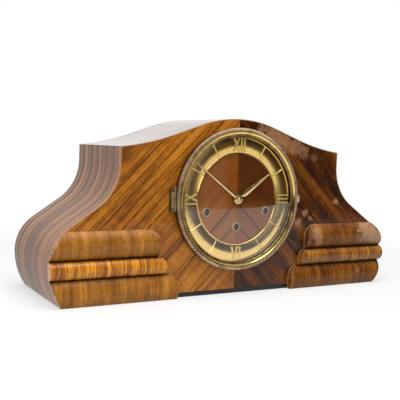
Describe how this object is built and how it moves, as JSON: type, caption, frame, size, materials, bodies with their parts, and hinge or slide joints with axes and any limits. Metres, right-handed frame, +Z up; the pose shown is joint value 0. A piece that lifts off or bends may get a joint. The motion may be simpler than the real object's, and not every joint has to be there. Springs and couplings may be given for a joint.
{
  "type": "tambour mantel clock",
  "caption": "Low mantel clock with a curved veneered case, stepped mouldings, a hinged round glass bezel, an open brass chapter ring and a wound chiming movement.",
  "frame": {"origin": "centre of the base's underside, on the surface that the clock stands on", "axes": "+X to the right of someone who reads the dial, along the clock's width; +Y to the back; +Z up"},
  "size_m": [0.49, 0.1633, 0.222],
  "materials": {
    "front_veneer": "gloss lacquer over figured walnut veneer",
    "side_veneer": "satin lacquer over striped veneer",
    "moulding_wood": "cross-grained walnut, lacquered",
    "black_base": "black paint on a plain board",
    "plain_board": "unpolished plywood, stained",
    "bezel_brass": "aged brass with a polished lip",
    "dial_brass": "brushed and darkened",
    "marker_brass": "polished raised figures",
    "hand_brass": "polished",
    "clear_glass": "clear domed glass",
    "movement_brass": "plain cut brass",
    "steel": "plain steel",
    "rod_block": "painted casting"
  },
  "bodies": {
    "case": {"front_panel": "front_veneer", "left_side": "side_veneer", "right_side": "side_veneer", "top_arch": "side_veneer", "base_board": "black_base", "back_panel": "plain_board", "lower_left_moulding": "moulding_wood", "middle_left_moulding": "moulding_wood", "upper_left_moulding": "moulding_wood", "lower_right_moulding": "moulding_wood", "middle_right_moulding": "moulding_wood", "upper_right_moulding": "moulding_wood", "chapter_ring": "dial_brass", "hour_markers": "marker_brass", "winding_grommets": "marker_brass", "bezel_hinge_leaf": "bezel_brass", "front_plate": "movement_brass", "back_plate": "movement_brass", "plate_pillars": "movement_brass", "movement_brackets": "steel", "wood_screws": "steel", "winding_clicks": "steel", "hammer_frame": "steel", "pendulum_cock": "movement_brass", "chime_block": "rod_block", "chime_rods": "steel", "door_pivots": "steel"},
    "bezel_door": {"bezel_ring": "bezel_brass", "bezel_glass": "clear_glass"},
    "silent_lever": {"silent_lever": "marker_brass"},
    "minute_work": {"minute_hand": "hand_brass", "hand_nut": "hand_brass", "cannon_pinion": "steel", "centre_wheel": "movement_brass"},
    "minute_wheel": {"minute_wheel": "movement_brass"},
    "hour_work": {"hour_wheel": "movement_brass", "hour_hand": "hand_brass"},
    "second_wheel": {"second_wheel": "movement_brass"},
    "time_barrel": {"time_barrel": "movement_brass"},
    "third_wheel": {"third_wheel": "movement_brass"},
    "escape_wheel": {"escape_wheel": "movement_brass"},
    "pendulum": {"anchor": "steel", "pendulum": "movement_brass"},
    "strike_barrel": {"strike_barrel": "movement_brass"},
    "strike_wheel": {"strike_wheel": "movement_brass"},
    "strike_fly": {"strike_fly": "steel"},
    "chime_barrel": {"chime_barrel": "movement_brass"},
    "chime_train": {"chime_wheel": "movement_brass", "chime_drum": "movement_brass"},
    "chime_fly": {"chime_fly": "steel"},
    "time_winder": {"time_winding_arbor": "steel"},
    "strike_winder": {"strike_winding_arbor": "steel"},
    "chime_winder": {"chime_winding_arbor": "steel"},
    "back_door": {"back_door": "plain_board", "door_knob": "marker_brass"},
    "hammer_1": {"hammer_1": "movement_brass"},
    "hammer_2": {"hammer_2": "movement_brass"},
    "hammer_3": {"hammer_3": "movement_brass"},
    "hammer_4": {"hammer_4": "movement_brass"},
    "hammer_5": {"hammer_5": "movement_brass"}
  },
  "joints": [
    {"name": "bezel_hinge", "type": "hinge", "parent": "case", "child": "bezel_door", "pos_m": [-0.0935, -0.073, 0.121], "axis": [0, 0, -1], "range_deg": [0, 110]},
    {"name": "silent_slide", "type": "slide", "parent": "case", "child": "silent_lever", "axis": [0, 0, 1], "range_m": [0, 0.016]},
    {"name": "minute_turn", "type": "hinge", "parent": "case", "child": "minute_work", "pos_m": [0, -0.03, 0.121], "axis": [0, 1, 0], "continuous": true},
    {"name": "minute_wheel_turn", "type": "hinge", "parent": "case", "child": "minute_wheel", "pos_m": [0.018, -0.03, 0.121], "axis": [0, 1, 0], "continuous": true},
    {"name": "hour_turn", "type": "hinge", "parent": "case", "child": "hour_work", "pos_m": [0, -0.03, 0.121], "axis": [0, 1, 0], "continuous": true},
    {"name": "second_wheel_turn", "type": "hinge", "parent": "case", "child": "second_wheel", "pos_m": [-0.01295, -0.03, 0.1085], "axis": [0, 1, 0], "continuous": true},
    {"name": "time_barrel_turn", "type": "hinge", "parent": "case", "child": "time_barrel", "pos_m": [0, -0.03, 0.0855], "axis": [0, 1, 0], "continuous": true},
    {"name": "third_wheel_turn", "type": "hinge", "parent": "case", "child": "third_wheel", "pos_m": [-0.00875, -0.03, 0.13615], "axis": [0, 1, 0], "continuous": true},
    {"name": "escape_wheel_turn", "type": "hinge", "parent": "case", "child": "escape_wheel", "pos_m": [0, -0.03, 0.14437], "axis": [0, 1, 0], "continuous": true},
    {"name": "strike_barrel_turn", "type": "hinge", "parent": "case", "child": "strike_barrel", "pos_m": [-0.044, -0.03, 0.105], "axis": [0, 1, 0], "continuous": true},
    {"name": "strike_wheel_turn", "type": "hinge", "parent": "case", "child": "strike_wheel", "pos_m": [-0.0572, -0.03, 0.08214], "axis": [0, 1, 0], "continuous": true},
    {"name": "strike_fly_turn", "type": "hinge", "parent": "case", "child": "strike_fly", "pos_m": [-0.0431, -0.03, 0.07701], "axis": [0, 1, 0], "continuous": true},
    {"name": "chime_barrel_turn", "type": "hinge", "parent": "case", "child": "chime_barrel", "pos_m": [0.044, -0.03, 0.105], "axis": [0, 1, 0], "continuous": true},
    {"name": "chime_train_turn", "type": "hinge", "parent": "case", "child": "chime_train", "pos_m": [0.0572, -0.03, 0.08214], "axis": [0, 1, 0], "continuous": true},
    {"name": "chime_fly_turn", "type": "hinge", "parent": "case", "child": "chime_fly", "pos_m": [0.0431, -0.03, 0.07701], "axis": [0, 1, 0], "continuous": true},
    {"name": "time_winding", "type": "hinge", "parent": "case", "child": "time_winder", "pos_m": [0, -0.03, 0.0855], "axis": [0, 1, 0], "continuous": true},
    {"name": "strike_winding", "type": "hinge", "parent": "case", "child": "strike_winder", "pos_m": [-0.044, -0.03, 0.105], "axis": [0, 1, 0], "continuous": true},
    {"name": "chime_winding", "type": "hinge", "parent": "case", "child": "chime_winder", "pos_m": [0.044, -0.03, 0.105], "axis": [0, 1, 0], "continuous": true},
    {"name": "pendulum_swing", "type": "hinge", "parent": "case", "child": "pendulum", "pos_m": [0, 0.004, 0.15787], "axis": [0, 1, 0], "range_deg": [-4, 4]},
    {"name": "back_door_hinge", "type": "hinge", "parent": "case", "child": "back_door", "pos_m": [0.095, 0.0655, 0.1], "axis": [0, 0, -1], "range_deg": [0, 110]},
    {"name": "hammer_1_lift", "type": "hinge", "parent": "case", "child": "hammer_1", "pos_m": [0.0765, 0.0125, 0.07873], "axis": [0, -1, 0], "range_deg": [0, 20]},
    {"name": "hammer_2_lift", "type": "hinge", "parent": "case", "child": "hammer_2", "pos_m": [0.0765, 0.02, 0.07873], "axis": [0, -1, 0], "range_deg": [0, 20]},
    {"name": "hammer_3_lift", "type": "hinge", "parent": "case", "child": "hammer_3", "pos_m": [0.0765, 0.0275, 0.07873], "axis": [0, -1, 0], "range_deg": [0, 20]},
    {"name": "hammer_4_lift", "type": "hinge", "parent": "case", "child": "hammer_4", "pos_m": [0.0765, 0.035, 0.07873], "axis": [0, -1, 0], "range_deg": [0, 20]},
    {"name": "hammer_5_lift", "type": "hinge", "parent": "case", "child": "hammer_5", "pos_m": [0.0765, 0.0425, 0.07873], "axis": [0, -1, 0], "range_deg": [0, 20]}
  ],
  "couplings": [
    {"joint": "minute_wheel_turn", "follows": "minute_turn", "ratio": -0.33333},
    {"joint": "hour_turn", "follows": "minute_turn", "ratio": 0.083333},
    {"joint": "second_wheel_turn", "follows": "minute_turn", "ratio": -0.2},
    {"joint": "time_barrel_turn", "follows": "minute_turn", "ratio": 0.044444},
    {"joint": "third_wheel_turn", "follows": "minute_turn", "ratio": -6},
    {"joint": "escape_wheel_turn", "follows": "minute_turn", "ratio": 30},
    {"joint": "strike_wheel_turn", "follows": "strike_barrel_turn", "ratio": -4.5},
    {"joint": "strike_fly_turn", "follows": "strike_barrel_turn", "ratio": 22.5},
    {"joint": "chime_train_turn", "follows": "chime_barrel_turn", "ratio": -4.5},
    {"joint": "chime_fly_turn", "follows": "chime_barrel_turn", "ratio": 22.5}
  ]
}
